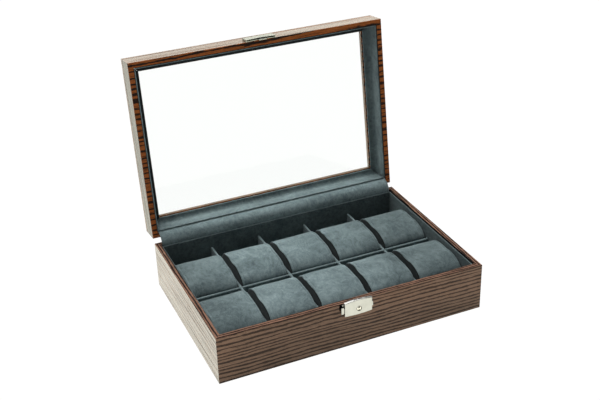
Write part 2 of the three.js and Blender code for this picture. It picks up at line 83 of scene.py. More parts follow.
def opened(point):
    """Where a point of the shut lid is at rest, with the lid open."""
    return HINGE + Matrix.Rotation(-OPEN_ANGLE, 3, "X") @ (Vector(point) - HINGE)


# ---------------------------------------------------------------- node helpers


class Tree:
    """The node tree of one new material, with short calls for the nodes that the materials use."""

    def __init__(self, name):
        self.material = bpy.data.materials.new(name)
        self.material.use_nodes = True
        self.nodes = self.material.node_tree.nodes
        self.links = self.material.node_tree.links
        self.shader = self.nodes["Principled BSDF"]

    def add(self, kind, inputs=None, **settings):
        """A new node. Inputs are values or other nodes' outputs, by socket name or number."""
        made = self.nodes.new(kind)
        for key, value in settings.items():
            setattr(made, key, value)
        for key, value in (inputs or {}).items():
            self.put(made, key, value)
        return made

    def put(self, target, key, value):
        """Links an output to a node's input, or sets the input's value."""
        socket = target.inputs[key]
        if isinstance(value, bpy.types.NodeSocket):
            self.links.new(value, socket)
        else:
            socket.default_value = value

    def place(self, kind="Object"):
        """The shaded point in the frame at rest, or its normal when kind is "Normal"."""
        return self.add("ShaderNodeTexCoord").outputs[kind]

    def math(self, operation, a, b=0.0, c=0.0):
        inputs = {0: a, 1: b, 2: c}
        return self.add("ShaderNodeMath", inputs, operation=operation).outputs[0]

    def between(self, factor, low, high):
        """low where the factor is 0, high where it is 1."""
        return self.math("MULTIPLY_ADD", factor, high - low, low)

    def vector(self, operation, a, b):
        return self.add("ShaderNodeVectorMath", {0: a, 1: b}, operation=operation).outputs[0]

    def dot(self, vector, direction):
        """The length of a vector along a direction."""
        inputs = {0: vector, 1: direction}
        return self.add("ShaderNodeVectorMath", inputs, operation="DOT_PRODUCT").outputs["Value"]

    def shut(self, vector, centre):
        """A vector of the open lid, turned about a centre to where it is with the lid shut."""
        turn = {"Vector": vector, "Center": centre, "Angle": OPEN_ANGLE}
        return self.add("ShaderNodeVectorRotate", turn, rotation_type="X_AXIS").outputs[0]

    def noise(self, vector, scale, detail=2.0, roughness=0.5):
        """Noise about a mean of 0.5. A scale of three numbers stretches it."""
        if isinstance(scale, tuple):
            vector, scale = self.vector("MULTIPLY", vector, scale), 1.0
        inputs = {"Vector": vector, "Scale": scale, "Detail": detail, "Roughness": roughness}
        return self.add("ShaderNodeTexNoise", inputs).outputs["Fac"]

    def ramp(self, value, *stops, smooth=False):
        """A colour ramp through (position, colour or grey) stops."""
        made = self.add("ShaderNodeValToRGB", {"Fac": value})
        made.color_ramp.interpolation = "EASE" if smooth else "LINEAR"
        elements = made.color_ramp.elements
        while len(elements) < len(stops):
            elements.new(0.5)
        for element, (position, colour) in zip(elements, stops):
            element.position = position
            element.color = (*colour, 1) if isinstance(colour, tuple) else (colour, colour, colour, 1)
        return made.outputs["Color"]

    def mix(self, factor, a, b, blend="MIX"):
        """Two colours mixed."""
        made = self.add("ShaderNodeMix", {"Factor": factor}, data_type="RGBA", blend_type=blend)
        for socket, value in ((6, a), (7, b)):
            self.put(made, socket, (*value, 1) if isinstance(value, tuple) and len(value) == 3 else value)
        return made.outputs[2]

    def bump(self, height, distance, strength=1.0):
        inputs = {"Height": height, "Distance": distance, "Strength": strength}
        self.put(self.shader, "Normal", self.add("ShaderNodeBump", inputs).outputs["Normal"])

    def set(self, **values):
        """Values on the shader's own sockets, such as Coat_Weight=1."""
        for key, value in values.items():
            self.put(self.shader, key.replace("_", " "), value)


def dress(material, *names):
    """Gives CAD nodes a material."""
    for name in names:
        data = frame["nodes"][name].data
        data.materials.clear()
        data.materials.append(material)


# ---------------------------------------------------------------- veneer

WOOD_LIGHT = (0.300, 0.160, 0.092)
WOOD_MID = (0.220, 0.122, 0.072)
WOOD_DARK = (0.014, 0.011, 0.010)
WOOD_GLARE_GREY = (0.100, 0.085, 0.060)  # painted glare: a greyer colour mixed in where glossy faces look left
# painted shade, on the faces that look inward and in the mortise behind the lock
WOOD_PAINTED_SHADE = (0.004, 0.003, 0.003)
PITCH = 4.7 * MM  # between stripes

# The rims' look: the colour between the stripes, their pitch, and how much wider they are
CASE_RIM = ((0.250, 0.138, 0.095), 3.4 * MM, 0.3)
LID_RIM_WOOD = ((0.360, 0.110, 0.030), 7.0 * MM, -0.2)

# Noises in the wood: scale along the grain and across it, detail, roughness
GRAIN = {
    "wander": ((9, 24, 1), 3.0, 0.5),  # slow bends of the stripes
    "crowding": ((1.5, 46, 1), 2.0, 0.5),  # where they stand closer together
    "ragged": ((95, 620, 1), 4.0, 0.65),  # their frayed edges
    "fade": ((24, 170, 1), 4.0, 0.6),  # where they break off
    "streak": ((26, 980, 1), 3.0, 0.6),  # thin dark lines between them
    "fibre": ((55, 2600, 1), 2.0, 0.5),
    "pore": ((210, 3600, 1), 1.0, 0.5),
    "patch": ((3, 16, 1), 1.0, 0.5),  # lighter and darker areas between the stripes
    "line": ((9, 780, 1), 2.0, 0.5),  # long thin lines in glossy lacquer
}
STRIPE_BENDS = {"wander": 1.7, "crowding": 2.6, "ragged": 0.62}  # in stripes
STRIPE_FADE = 2.4

SATIN, GLOSSY = 1.27, 1.48  # refractive index of lacquer that is rubbed down, and that isn't
DULL_POLISH, GLARE_FACE_POLISH, RIM_POLISH = 0.38, 0.55, 0.03  # how much of the lacquer's gloss is left
GLARE_PAINTING = {"case": 0.35, "lid": 0.9}  # how much painted glare the glossy faces that look left get
FACING = 0.7  # a face looks in a direction when its normal has this much of it


def facing(tree, normal, direction):
    """1 on the faces that look in a direction."""
    return tree.math("GREATER_THAN", tree.dot(normal, direction), FACING)


def veneer(name, body, along, across, lean, shift, lacquer=SATIN, side=None, inward=None):
    """Striped dark wood. Its stripes are layers in the wood, so a panel's face and its rim agree.

    along and across are directions in the part's frame, with the lid shut: the grain runs along the
    first, and the stripes are stacked along the second, slanted by lean and moved by shift. On a wall
    they are stacked by height and by inset, so that the rim shows a few long stripes too. side is a
    second (along, across, lean) for the faces that look left and right. Faces that look inward get
    near-black painted shade, and so does the front panel's mortise behind the lock. Glossy faces that
    look left get a greyer painted glare."""
    tree = Tree(name)
    point, normal = tree.place(), tree.place("Normal")
    rim_side, rim_look = UP, CASE_RIM
    if body == "lid":
        point, normal = tree.shut(point, HINGE), tree.shut(normal, (0, 0, 0))
        rim_side, rim_look = DOWN, LID_RIM_WOOD
    field = wood_place(tree, point, along, across, lean, shift)
    if side:
        sideways = tree.math("ABSOLUTE", tree.dot(normal, ALONG_X))
        sideways = tree.math("GREATER_THAN", sideways, FACING)
        other = wood_place(tree, point, *side, shift + 0.35)
        inputs = {0: sideways, 4: field, 5: other}
        field = tree.add("ShaderNodeMix", inputs, data_type="VECTOR").outputs[1]
    # painted shade: faces that look inward are near black
    painted_shade = facing(tree, normal, inward) if inward else 0.0
    if inward == ALONG_Y:  # the front panel's, which also gets painted shade in the mortise behind the lock
        painted_shade = tree.math("MAXIMUM", painted_shade, mortise(tree, point))
    # painted glare: glossy faces that look left get a greyer colour for the glare that falls on them
    glare_share = GLARE_PAINTING[body] if lacquer == GLOSSY else 0.0
    painted_glare = tree.math("MULTIPLY", facing(tree, normal, LEFT), glare_share)
    wood_finish(tree, field, lacquer, painted_shade, painted_glare, facing(tree, normal, rim_side), rim_look)
    return tree.material


MORTISE_MIDDLE, MORTISE_REACH = 2.25 * MM, 2 * MM  # behind the front, and either side of that
MORTISE_HALF_WIDTH = 24 * MM
MORTISE_TOP = 0.3 * MM  # below the rim


def mortise(tree, point):
    """1 on the front panel's wood that is cut away behind the lock, where shade is painted."""
    place = tree.add("ShaderNodeSeparateXYZ", {0: point}).outputs
    behind = tree.math("COMPARE", place[1], CASE_LOW.y + MORTISE_MIDDLE, MORTISE_REACH)
    beside = tree.math("ABSOLUTE", tree.math("SUBTRACT", place[0], LOCK.x))
    beside = tree.math("LESS_THAN", beside, MORTISE_HALF_WIDTH)
    below = tree.math("LESS_THAN", place[2], CASE_TOP - MORTISE_TOP)
    return tree.math("MULTIPLY", behind, tree.math("MULTIPLY", beside, below))


def wood_place(tree, point, along, across, lean, shift):
    """A vector of (distance along the grain, distance across the stripes, shift)."""
    stacked = tree.dot(point, tuple(a + b for a, b in zip(across, lean)))
    inputs = {0: tree.dot(point, along), 1: tree.math("ADD", stacked, shift), 2: shift}
    return tree.add("ShaderNodeCombineXYZ", inputs).outputs[0]


def grain(tree, field, name):
    """One of the wood's noises."""
    scale, detail, roughness = GRAIN[name]
    return tree.noise(field, scale, detail, roughness)


def stripes(tree, field, rim, rim_pitch, rim_wider):
    """1 in the dark stripes, whose soft edges wander, fray and fade."""
    across = tree.add("ShaderNodeSeparateXYZ", {0: field}).outputs[1]
    turns = tree.math("DIVIDE", across, tree.between(rim, PITCH, rim_pitch))
    for name, amount in STRIPE_BENDS.items():
        turns = tree.math("MULTIPLY_ADD", grain(tree, field, name), amount, turns)
    wave = tree.math("SINE", tree.math("MULTIPLY", turns, 2 * math.pi))
    fade = tree.math("SUBTRACT", grain(tree, field, "fade"), 0.5)
    wave = tree.math("MULTIPLY_ADD", fade, STRIPE_FADE, wave)
    wave = tree.math("MULTIPLY_ADD", rim, rim_wider, wave)
    wave = tree.math("MULTIPLY_ADD", wave, 0.5, 0.5)
    return tree.ramp(wave, (0.50, 0.0), (0.80, 1.0), smooth=True)


def wood_finish(tree, field, lacquer, painted_shade, painted_glare, rim, rim_look):
    """The stripes, the fibres and the pores, as colour, roughness and relief. painted_shade,
    painted_glare and rim are 1 where shade is painted, where glare is painted, and on the rims."""
    rim_light, rim_pitch, rim_wider = rim_look
    stripe = stripes(tree, field, rim, rim_pitch, rim_wider)
    streak = tree.ramp(grain(tree, field, "streak"), (0.52, 0.0), (0.68, 1.0))
    patch = tree.ramp(grain(tree, field, "patch"), (0.38, 0.0), (0.62, 1.0))
    pore = tree.ramp(grain(tree, field, "pore"), (0.60, 0.0), (0.70, 1.0))
    fibre = grain(tree, field, "fibre")

    ground = tree.mix(patch, WOOD_MID, WOOD_LIGHT)
    # painted glare on the glossy faces that look left
    ground = tree.mix(painted_glare, ground, WOOD_GLARE_GREY)
    ground = tree.mix(rim, ground, rim_light)
    ground = tree.mix(0.5, ground, tree.ramp(fibre, (0.3, 0.3), (0.7, 1.0)), "MULTIPLY")
    streaked = tree.math("MULTIPLY", streak, tree.between(rim, 0.45, 0.85))
    striped = tree.math("MULTIPLY", stripe, tree.between(rim, 0.80, 0.96))
    colour = tree.mix(streaked, ground, WOOD_DARK)
    colour = tree.mix(striped, colour, WOOD_DARK)
    colour = tree.mix(tree.math("MULTIPLY", pore, 0.6), colour, WOOD_DARK)
    # painted shade on the inward faces and in the mortise
    colour = tree.mix(painted_shade, colour, WOOD_PAINTED_SHADE)

    dull = tree.math("MAXIMUM", stripe, tree.math("MULTIPLY", streak, 0.7))
    roughness = tree.math("MULTIPLY_ADD", dull, 0.4, tree.ramp(fibre, (0.2, 0.36), (0.8, 0.26)))
    if lacquer == GLOSSY:  # dull in long thin lines, not in the stripes
        dull = tree.ramp(grain(tree, field, "line"), (0.50, 0.0), (0.62, 1.0))
    coat = tree.between(dull, 1.0, DULL_POLISH)
    coat = tree.math("MULTIPLY", coat, tree.between(painted_glare, 1.0, GLARE_FACE_POLISH))
    coat = tree.math("MULTIPLY", coat, tree.between(rim, 1.0, RIM_POLISH))
    tree.set(Base_Color=colour, Roughness=roughness, Specular_IOR_Level=0)
    tree.set(Coat_Weight=coat, Coat_IOR=lacquer, Coat_Roughness=0.24)

    relief = tree.math("MULTIPLY_ADD", pore, -0.8, tree.math("MULTIPLY", fibre, 0.5))
    relief = tree.math("MULTIPLY_ADD", stripe, -0.25, relief)
    tree.bump(relief, 0.08 * MM, 0.7)


def veneer_case():
    inward_and_up = {"front": (0, 1, 1), "back": (0, -1, 1), "left": (1, 0, 1), "right": (-1, 0, 1)}
    for number, (side, across) in enumerate(inward_and_up.items()):
        along = ALONG_X if side in ("front", "back") else ALONG_Y
        lean = tuple(0.012 * a for a in along)
        lacquer = GLOSSY if side == "left" else SATIN
        inward = (*across[:2], 0)
        name, shift = f"veneer_case_{side}", 0.11 * number
        wood = veneer(name, "case", along, across, lean, shift, lacquer, inward=inward)
        dress(wood, f"case_{side}_panel")


def veneer_lid():
    across, lean = (0, 1, 1), (0.02, 0, 0)
    ends = (ALONG_Y, UP, (0, 0.1, 0))
    walls = veneer("veneer_lid", "lid", ALONG_X, across, lean, 0.6, GLOSSY, ends)
    rails = veneer("veneer_lid_frame", "lid", ALONG_X, across, lean, 0.9)
    for side in ("front", "right", "back", "left"):
        dress(walls, f"lid_{side}_wall")
        dress(rails, f"lid_rail_{side}")


# ---------------------------------------------------------------- velour and felt

VELOUR_SHADE = (0.044, 0.060, 0.064)
VELOUR_MID = (0.086, 0.116, 0.121)
VELOUR_LIGHT = (0.160, 0.207, 0.212)
SHEEN_TINT = (0.66, 0.76, 0.78, 1)
PAINTED_BRIGHTEST = 25 * MM  # how far left of the middle the painted shade leaves the pillows brightest
LID_FALL = 10 * MM  # the height that the lid's painted shade ramp spans, from the rim up


def velour(name, seed, blotch=1.0, painted_brightness=1.0, lid_shade_paint=None, end_shade_paint=None, sheen=0.3):
    """Suede-like cloth: a short nap brushed into lighter and darker patches, with a soft sheen.

    painted_brightness scales the colours: below 1 it is painted shade, above 1 painted light.
    lid_shade_paint is painted shade for what lies deeper in the lid than its rim, and end_shade_paint
    is painted shade on the pillows' ends, which also brings painted shade away from the row's brightest
    place."""
    tree = Tree(name)
    point = tree.vector("ADD", tree.place(), (seed, 2 * seed, 0))
    bend = tree.add("ShaderNodeTexNoise", {"Vector": point, "Scale": 30, "Detail": 2}).outputs["Color"]
    swirled = tree.vector("ADD", point, tree.vector("MULTIPLY", bend, (0.03, 0.03, 0.03)))
    broad = tree.noise(swirled, (34, 30, 34), 3.0, 0.55)
    brushed = tree.noise(swirled, (230, 160, 230), 5.0, 0.65)
    nap = tree.noise(point, 800, 3.0, 0.7)
    tone = tree.math("MULTIPLY_ADD", brushed, 0.55, tree.math("MULTIPLY", broad, 0.45 * blotch))
    tone = tree.math("MULTIPLY_ADD", nap, 0.34, tone)
    low = 0.44 + 0.225 * (blotch - 1)  # follows the mean tone
    # painted light above 1 and painted shade below 1: every tone scaled by painted_brightness
    shades = [tuple(painted_brightness * c for c in shade) for shade in (VELOUR_SHADE, VELOUR_MID, VELOUR_LIGHT)]
    colour = tree.ramp(tone, *zip((low, low + 0.17, low + 0.42), shades))
    # painted shade deeper in the lid than its rim
    if lid_shade_paint is not None:
        colour = tree.mix(1.0, colour, painted_lid_shade(tree, lid_shade_paint), "MULTIPLY")
    # painted shade on the pillows' ends and away from the row's brightest place
    if end_shade_paint is not None:
        colour = painted_pillow_shade(tree, colour, end_shade_paint)
    tree.set(Base_Color=colour, Roughness=0.95, Specular_IOR_Level=0.15)
    tree.set(Sheen_Weight=sheen * painted_brightness, Sheen_Roughness=0.45, Sheen_Tint=SHEEN_TINT)
    tree.bump(tree.math("MULTIPLY_ADD", brushed, 1.6, nap), 0.18 * MM, 0.55)
    return tree.material


def painted_lid_shade(tree, painted_brightness):
    """Painted shade: a grey that falls from 1 at the lid's rim to the given value further in."""
    height = tree.math("SUBTRACT", tree.dot(tree.shut(tree.place(), HINGE), UP), LID_RIM)
    return tree.ramp(tree.math("DIVIDE", height, LID_FALL), (0.06, 1.0), (0.2, painted_brightness))


def painted_pillow_shade(tree, colour, end_shade_paint):
    """The pillows' colour with painted shade: darker on their ends and away from the brightest place of
    the row.
    """
    sideways = tree.math("ABSOLUTE", tree.dot(tree.place("Normal"), ALONG_X))
    # painted shade on the pillows' ends
    ends = tree.ramp(sideways, (0.7, 1.0), (0.92, end_shade_paint))
    colour = tree.mix(1.0, colour, ends, "MULTIPLY")
    # painted shade away from the row's brightest place
    away = tree.math("ABSOLUTE", tree.math("ADD", tree.dot(tree.place(), ALONG_X), PAINTED_BRIGHTEST))
    fall = tree.ramp(tree.math("DIVIDE", away, HALF_WIDTH), (0.3, 0.98), (0.8, 0.62))
    return tree.mix(1.0, colour, fall, "MULTIPLY")


def felt():
    tree = Tree("felt_black")
    tuft = tree.noise(tree.place(), 900, 4.0, 0.7)
    colour = tree.ramp(tuft, (0.3, (0.006, 0.007, 0.008)), (0.7, (0.026, 0.028, 0.030)))
    tree.set(Base_Color=colour, Roughness=1.0, Specular_IOR_Level=0.1)
    tree.set(Sheen_Weight=0.2, Sheen_Roughness=0.5)
    tree.bump(tuft, 0.25 * MM, 0.8)
    return tree.material


def board():
    """Plain fibreboard, which shows only where nothing covers the floor board."""
    tree = Tree("fibreboard")
    fleck = tree.noise(tree.place(), 1200, 3.0, 0.6)
    colour = tree.ramp(fleck, (0.3, (0.20, 0.14, 0.085)), (0.7, (0.33, 0.25, 0.165)))
    tree.set(Base_Color=colour, Roughness=0.85)
    tree.bump(fleck, 0.1 * MM, 0.4)
    return tree.material


def cover_with_velour():
    # painted shade: the linings' colours at 0.56, the back lining's at 0.8
    lining = velour("velour_lining", 0.31, 0.8, 0.56)
    dress(lining, "lining_floor", *(f"lining_{side}" for side in ("front", "right", "left")))
    dress(velour("velour_back_lining", 0.83, 0.8, 0.8), "lining_back")
    divider = velour("velour_divider", 0.57, 0.8)
    dress(divider, "divider_cross", *(f"divider_long_{i}" for i in range(1, 5)))
    dress(felt(), "base_felt")
    dress(board(), "case_floor")


# ---------------------------------------------------------------- metal and glass

METALS = {  # colour, colour where it is worn, roughness
    "nickel": ((0.305, 0.305, 0.290), (0.275, 0.275, 0.260), 0.28),
    "nickel_strike": ((0.30, 0.31, 0.27), (0.25, 0.26, 0.22), 0.24),
    "nickel_screws": ((0.10, 0.10, 0.09), (0.06, 0.06, 0.05), 0.3),
    "nickel_plug": ((0.50, 0.49, 0.44), (0.45, 0.44, 0.40), 0.14),
    "brass": ((0.44, 0.33, 0.16), (0.37, 0.27, 0.13), 0.26),
}
# painted shade in the key plug's slots and at its edge
KEYWAY_PAINTED_SHADE = (0.030, 0.020, 0.012)
SLOT_DEPTH = 0.75 * MM  # in the key plug, from its front
PLUG_EDGE = 2.4 * MM  # radius where its clearance in the cover begins
ANTI_GLARE = 1.2  # refractive index of the pane, low because its coating mirrors little


def metal(name, painted_shade_where=None):
    """Plated or polished metal: fine rubbed marks, with the plating a little duller in patches."""
    colour, worn, roughness = METALS[name]
    tree = Tree(name)
    point = tree.place()
    rubbed = tree.noise(point, (270, 900, 900), 3.0)
    cloud = tree.noise(point, 120)
    plating = tree.mix(tree.ramp(cloud, (0.35, 0.0), (0.7, 1.0)), colour, worn)
    # painted shade where the mask is 1
    if painted_shade_where:
        plating = tree.mix(painted_shade_where(tree, point), plating, KEYWAY_PAINTED_SHADE)
    tree.set(Base_Color=plating, Metallic=1.0)
    tree.set(Roughness=tree.ramp(rubbed, (0.3, roughness), (0.7, roughness + 0.12)))
    tree.bump(rubbed, 0.02 * MM, 0.12)
    return tree.material


def keyway(tree, point):
    """1 in the key plug's slots and at its edge, where shade is painted."""
    low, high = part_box("key_plug")
    offset = tree.vector("SUBTRACT", point, (low + high) / 2)
    flat = tree.vector("MULTIPLY", offset, (1, 0, 1))
    radius = tree.add("ShaderNodeVectorMath", {0: flat}, operation="LENGTH").outputs["Value"]
    deep = tree.math("GREATER_THAN", tree.dot(point, ALONG_Y), low.y + SLOT_DEPTH)
    return tree.math("MAXIMUM", deep, tree.math("GREATER_THAN", radius, PLUG_EDGE))


def plate_metals():
    """Gives the lock, the strike plate and the hinges their metals. Returns the hinges' brass."""
    nickel = metal("nickel")
    dress(nickel, "lock_base_plate", "lock_nail_1", "lock_nail_2", "lock_cover", "lock_slide")
    dress(metal("nickel_strike"), "strike_plate")
    dress(metal("nickel_screws"), "strike_screw_1", "strike_screw_2")
    dress(metal("nickel_plug", painted_shade_where=keyway), "key_plug")
    brass = metal("brass")
    for side in ("left", "right"):
        dress(brass, f"hinge_case_leaf_{side}", f"hinge_lid_leaf_{side}", f"hinge_pin_{side}")
    return brass


def glaze():
    """Float glass, faintly green, that lets the lamps' light through to what is behind it."""
    tree = Tree("float_glass")
    film = tree.noise(tree.place(), 14)
    tree.set(Base_Color=(0.945, 0.965, 0.95, 1), IOR=ANTI_GLARE, Transmission_Weight=1.0)
    tree.set(Roughness=tree.ramp(film, (0.3, 0.0), (0.8, 0.012)))
    clear = tree.add("ShaderNodeBsdfTransparent", {"Color": (0.97, 0.985, 0.975, 1)}).outputs[0]
    lamp = tree.add("ShaderNodeLightPath").outputs["Is Shadow Ray"]
    mixed = tree.add("ShaderNodeMixShader", {0: lamp, 1: tree.shader.outputs[0], 2: clear}).outputs[0]
    tree.put(tree.nodes["Material Output"], "Surface", mixed)
    dress(tree.material, "glass_pane")


# ---------------------------------------------------------------- mesh helpers


def new_object(name, vertices, faces, material, smooth=True):
    data = bpy.data.meshes.new(name)
    data.from_pydata([tuple(v) for v in vertices], [], faces)
    data.validate()
    made = bpy.data.objects.new(name, data)
    bpy.context.scene.collection.objects.link(made)
    data.materials.append(material)
    data.polygons.foreach_set("use_smooth", [smooth] * len(data.polygons))
    turn_outward(data)
    return made


def turn_outward(data):
    """Makes the faces of a closed mesh look out."""
    work = bmesh.new()
    work.from_mesh(data)
    bmesh.ops.recalc_face_normals(work, faces=work.faces)
    work.to_mesh(data)
    work.free()


def tube_faces(rings, count):
    """The faces of a tube with closed ends: rings of count vertices, each joined to the next."""
    faces = []
    for r in range(rings - 1):
        for i in range(count):
            j = (i + 1) % count
            faces.append((r * count + i, r * count + j, (r + 1) * count + j, (r + 1) * count + i))
    faces.append(tuple(range(count)))
    faces.append(tuple(reversed(range((rings - 1) * count, rings * count))))
    return faces


def apply_modifier(piece, modifier):
    """Bakes one modifier into the piece's mesh, as it stands at the current frame."""
    depsgraph = bpy.context.evaluated_depsgraph_get()
    evaluated = piece.evaluated_get(depsgraph)
    finished = bpy.data.meshes.new_from_object(evaluated, depsgraph=depsgraph)
    piece.modifiers.remove(modifier)
    old = piece.data
    piece.data = finished
    bpy.data.meshes.remove(old)


def subdivide(piece, levels):
    modifier = piece.modifiers.new("finer", "SUBSURF")
    modifier.levels = modifier.render_levels = levels
    apply_modifier(piece, modifier)


def positions(data):
    """The mesh's vertices as an array."""
    out = np.empty(len(data.vertices) * 3)
    data.vertices.foreach_get("co", out)
    return out.reshape(-1, 3)


def move_to(data, where):
    data.vertices.foreach_set("co", np.asarray(where, float).ravel())
    data.update()


def bell(x, width):
    """1 at zero, falling away smoothly within about the width."""
    return np.exp(-((np.asarray(x) / width) ** 2))


def arc(middle, radius, start, end, steps):
    """Points of an arc, between two angles in quarter turns."""
    angles = [math.radians(90 * (start + (end - start) * k / steps)) for k in range(steps + 1)]
    return [(middle[0] + radius * math.cos(a), middle[1] + radius * math.sin(a)) for a in angles]


# ---------------------------------------------------------------- pillows

PILLOW_ROWS = {"back": (1.3, 0), "front": (2.9, 20)}  # seeds of the row's velour and of its shapes
PILLOW_AROUND, PILLOW_RINGS = 44, 13
PILLOW_SQUARENESS = 2.8  # of the side view: 2 would be an ellipse
PILLOW_CAP = (0.97, 0.8, 0.4)  # sizes of the cap's inner rings
END_GAP = 0.2 * MM  # the caps stop this far inside the pillow's box
END_ROUND = 1.3 * MM  # radius of the edge between the cover and a cap
SLACK = 1.0 * MM  # how much thinner the unfilled pillow is
UNEVEN = 0.5  # in mm, as how far the unfilled pillow's walls wander
FILLING_PRESSURE = 3.0
FILLING_STEPS = 20
SWELL_LIMIT = 4 * MM
SEAM_INSET, SEAM_WIDTH = 3.6 * MM, 0.75 * MM  # the first is from the end of the pillow
SEAM_DEPTH, SEAM_PUCKER = 0.55 * MM, 0.25 * MM
WELT_INSET, WELT_WIDTH, WELT_RISE = 1.6 * MM, 1.0 * MM, 0.35 * MM  # the roll beside the seam
DENT = 0.7 * MM
LEAN = 2.4 * MM  # the roll's top leans towards the lock


def pillow_profile(half_length, half_height):
    """Points round a roll's side view, as (y, z) about its middle."""
    angles = np.arange(PILLOW_AROUND) / PILLOW_AROUND * 2 * math.pi
    c, s = np.cos(angles), np.sin(angles)
    y = half_length * np.sign(c) * np.abs(c) ** (2 / PILLOW_SQUARENESS)
    z = half_height * np.sign(s) * np.abs(s) ** (2 / PILLOW_SQUARENESS)
    return y, z


def pillow_rings(half_width):
    """The rings of an unfilled pillow, as (place along X, how far inside the profile, size)."""
    end = half_width - END_GAP
    turns = [(1 - math.sin(a), 1 - math.cos(a)) for a in (0.8, math.pi / 2)]
    right = [(end - END_ROUND * a, END_ROUND * b, 1) for a, b in turns]
    right += [(end, END_ROUND, size) for size in PILLOW_CAP]
    left = [(-x, inside, size) for x, inside, size in reversed(right)]
    cover = [(x, 0, 1) for x in np.linspace(END_ROUND - end, end - END_ROUND, PILLOW_RINGS)]
    support = end - 2.2 * END_ROUND
    return left + [cover[0], (-support, 0, 1), *cover[1:-1], (support, 0, 1), cover[-1]] + right


def pillow_shell(name, box, seed, material):
    """The unfilled pillow: a tube with slightly uneven walls and a flat cap at each end."""
    low, high = box
    centre, half = (low + high) / 2, (high - low) / 2
    rings = pillow_rings(half.x)
    vertices = []
    for x, inside, size in rings:
        y, z = pillow_profile(half.y - SLACK - inside, half.z - SLACK - inside)
        vertices += [(centre.x + x, centre.y + size * b, centre.z + size * c) for b, c in zip(y, z)]
    made = new_object(name, vertices, tube_faces(len(rings), PILLOW_AROUND), material)
    start = positions(made.data)
    shift = Vector((seed, 0, 0))
    rough = np.array([noise.noise_vector(Vector(v) * 45 + shift) for v in start])
    rough[:, 0] *= 0.4
    move_to(made.data, start + rough * UNEVEN * MM)
    return made


def fill(piece, box):
    """Fills the pillow: its cover is cloth, its two caps are held, and pressure swells the rest."""
    low, high = box
    start = positions(piece.data)
    middle, half = (low.x + high.x) / 2, (high.x - low.x) / 2
    held = np.abs(start[:, 0] - middle) > half - END_GAP - 0.6 * END_ROUND
    pins = piece.vertex_groups.new(name="held")
    pins.add([int(i) for i in np.nonzero(held)[0]], 1.0, "REPLACE")
    cloth = piece.modifiers.new("filling", "CLOTH")
    cloth.settings.vertex_group_mass = "held"
    cloth.settings.quality = 6
    cloth.settings.tension_stiffness = cloth.settings.compression_stiffness = 12
    cloth.settings.bending_stiffness = 0.6
    cloth.settings.use_pressure = True
    cloth.settings.uniform_pressure_force = FILLING_PRESSURE
    cloth.settings.shrink_min = -0.03
    cloth.settings.effector_weights.gravity = 0
    cloth.collision_settings.use_collision = False
    cloth.point_cache.frame_start, cloth.point_cache.frame_end = 1, FILLING_STEPS
    for step in range(1, FILLING_STEPS + 1):
        bpy.context.scene.frame_set(step)
    apply_modifier(piece, cloth)
    piece.vertex_groups.clear()
    moved = positions(piece.data) - start
    length = np.linalg.norm(moved, axis=1, keepdims=True)
    capped = moved * np.minimum(1, SWELL_LIMIT / np.maximum(length, 1e-9))
    move_to(piece.data, start + capped)
    bpy.context.scene.frame_set(1)


def finish_pillow(piece, box, seed):
    """Finer mesh, the two seams, small dents, the lean, and a flat patch where the pillow stands."""
    low, high = box
    subdivide(piece, 2)
    data = piece.data
    where = positions(data)
    middle = np.array((low + high) / 2)
    size = np.array(high - low) / 2
    from_end = size[0] - np.abs(where[:, 0] - middle[0])
    radial = where - middle
    radial[:, 0] = 0
    radial /= np.maximum(np.linalg.norm(radial, axis=1, keepdims=True), 1e-6)
    on_side = np.clip((from_end - 0.4 * MM) / (1.0 * MM), 0, 1)[:, None]
    pucker = np.array([noise.noise(Vector((seed, p[1] * 260, p[2] * 260))) for p in where])
    groove = bell(from_end - SEAM_INSET, SEAM_WIDTH) * (SEAM_DEPTH + SEAM_PUCKER * pucker)
    welt = bell(from_end - WELT_INSET, WELT_WIDTH) * WELT_RISE
    shift = Vector((seed, seed, 0))
    dents = np.array([noise.noise(Vector(p) * 38 + shift) for p in where]) * DENT
    where += radial * ((welt - groove + dents)[:, None] * on_side)
    height = np.clip((where[:, 2] - middle[2]) / (0.55 * size[2]), 0, 1)
    where[:, 1] -= LEAN * height * height * (3 - 2 * height)
    where[:, 2] = np.maximum(where[:, 2], low.z)
    move_to(data, where)


def pillows():
    for row, (velour_seed, shape_seed) in PILLOW_ROWS.items():
        # painted light on the pillows' colours (1.25) and painted shade on their ends (0.06)
        material = velour(f"velour_pillows_{row}", velour_seed, painted_brightness=1.25, end_shade_paint=0.06, sheen=0.1)
        for i in range(1, 6):
            node = f"pillow_{row}_{i}"
            seed = i * 3.7 + shape_seed
            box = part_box(node)
            piece = pillow_shell(f"{node}_velour", box, seed, material)
            fill(piece, box)
            finish_pillow(piece, box, seed)
            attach(piece, node)
            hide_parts(node)


# ---------------------------------------------------------------- stay band

BAND_WIDTH = 314 * MM
BAND_THICKNESS = 0.7 * MM
BAND_TUCK = 8 * MM  # hidden in each slot
BAND_HIDDEN, BAND_FREE = 4, 18  # steps of its line in each slot, and between the slots
BAND_COLUMNS = 80
BAND_RIPPLE = 0.45 * MM
SLOT_Y = HALF_DEPTH - 6.85 * MM  # the middle of the slot behind the back lining


